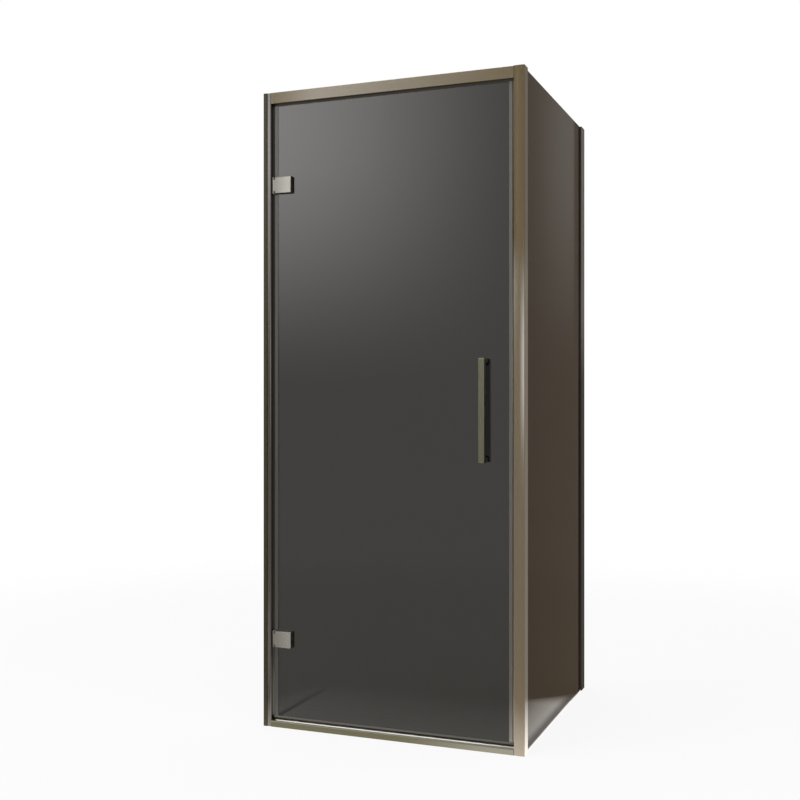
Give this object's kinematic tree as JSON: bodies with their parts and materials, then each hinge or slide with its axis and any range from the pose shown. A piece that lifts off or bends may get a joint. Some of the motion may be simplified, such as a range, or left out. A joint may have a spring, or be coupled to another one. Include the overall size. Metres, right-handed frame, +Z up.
{
  "type": "corner shower enclosure",
  "caption": "Framed corner shower enclosure with one outward-opening smoked glass door, a bar handle and a fixed smoked glass side panel, for a corner of two walls.",
  "frame": {"origin": "on the left wall plane, at the centre line of the front frame, at floor level", "axes": "+X from the left wall to the side panel, +Y from the door into the shower towards the back wall, +Z up"},
  "size_m": [0.806, 0.81, 1.9],
  "materials": {
    "profile_metal": "brushed warm nickel anodising",
    "hinge_metal": "brushed",
    "handle_metal": "brushed",
    "smoked_glass": "polished smoked glass",
    "clear_seal": "translucent",
    "dark_gasket": "matt",
    "end_plastic": "matt",
    "magnet_strip": "matt"
  },
  "bodies": {
    "frame": {"wall_channel_left": "profile_metal", "hinge_jamb": "profile_metal", "header_rail": "profile_metal", "threshold_rail": "profile_metal", "corner_post": "profile_metal", "corner_post_cap": "profile_metal", "jamb_end_plug": "end_plastic", "side_profile_end_plug": "end_plastic", "strike_magnet": "magnet_strip", "side_glass": "smoked_glass", "side_gasket_corner": "dark_gasket", "side_gasket_wall": "dark_gasket", "side_adjusting_profile": "profile_metal", "wall_channel_rear": "profile_metal", "side_bottom_seal": "clear_seal", "hinge_bracket_upper": "hinge_metal", "hinge_bracket_lower": "hinge_metal", "hinge_pin_upper": "hinge_metal", "hinge_pin_lower": "hinge_metal"},
    "door": {"door_glass": "smoked_glass", "hinge_plate_outer_upper": "hinge_metal", "hinge_plate_outer_lower": "hinge_metal", "hinge_plate_inner_upper": "hinge_metal", "hinge_plate_inner_lower": "hinge_metal", "hinge_gasket_upper": "dark_gasket", "hinge_gasket_lower": "dark_gasket", "drip_seal": "clear_seal", "magnetic_seal": "clear_seal", "hinge_side_seal": "clear_seal", "handle_bar": "handle_metal", "handle_post_upper": "handle_metal", "handle_post_lower": "handle_metal", "handle_inner_cap_upper": "handle_metal", "handle_inner_cap_lower": "handle_metal"}
  },
  "joints": [
    {"name": "door_hinge", "type": "hinge", "parent": "frame", "child": "door", "pos_m": [0.03175, -0.01075, 0.942], "axis": [0, 0, -1], "range_deg": [0, 88]}
  ]
}
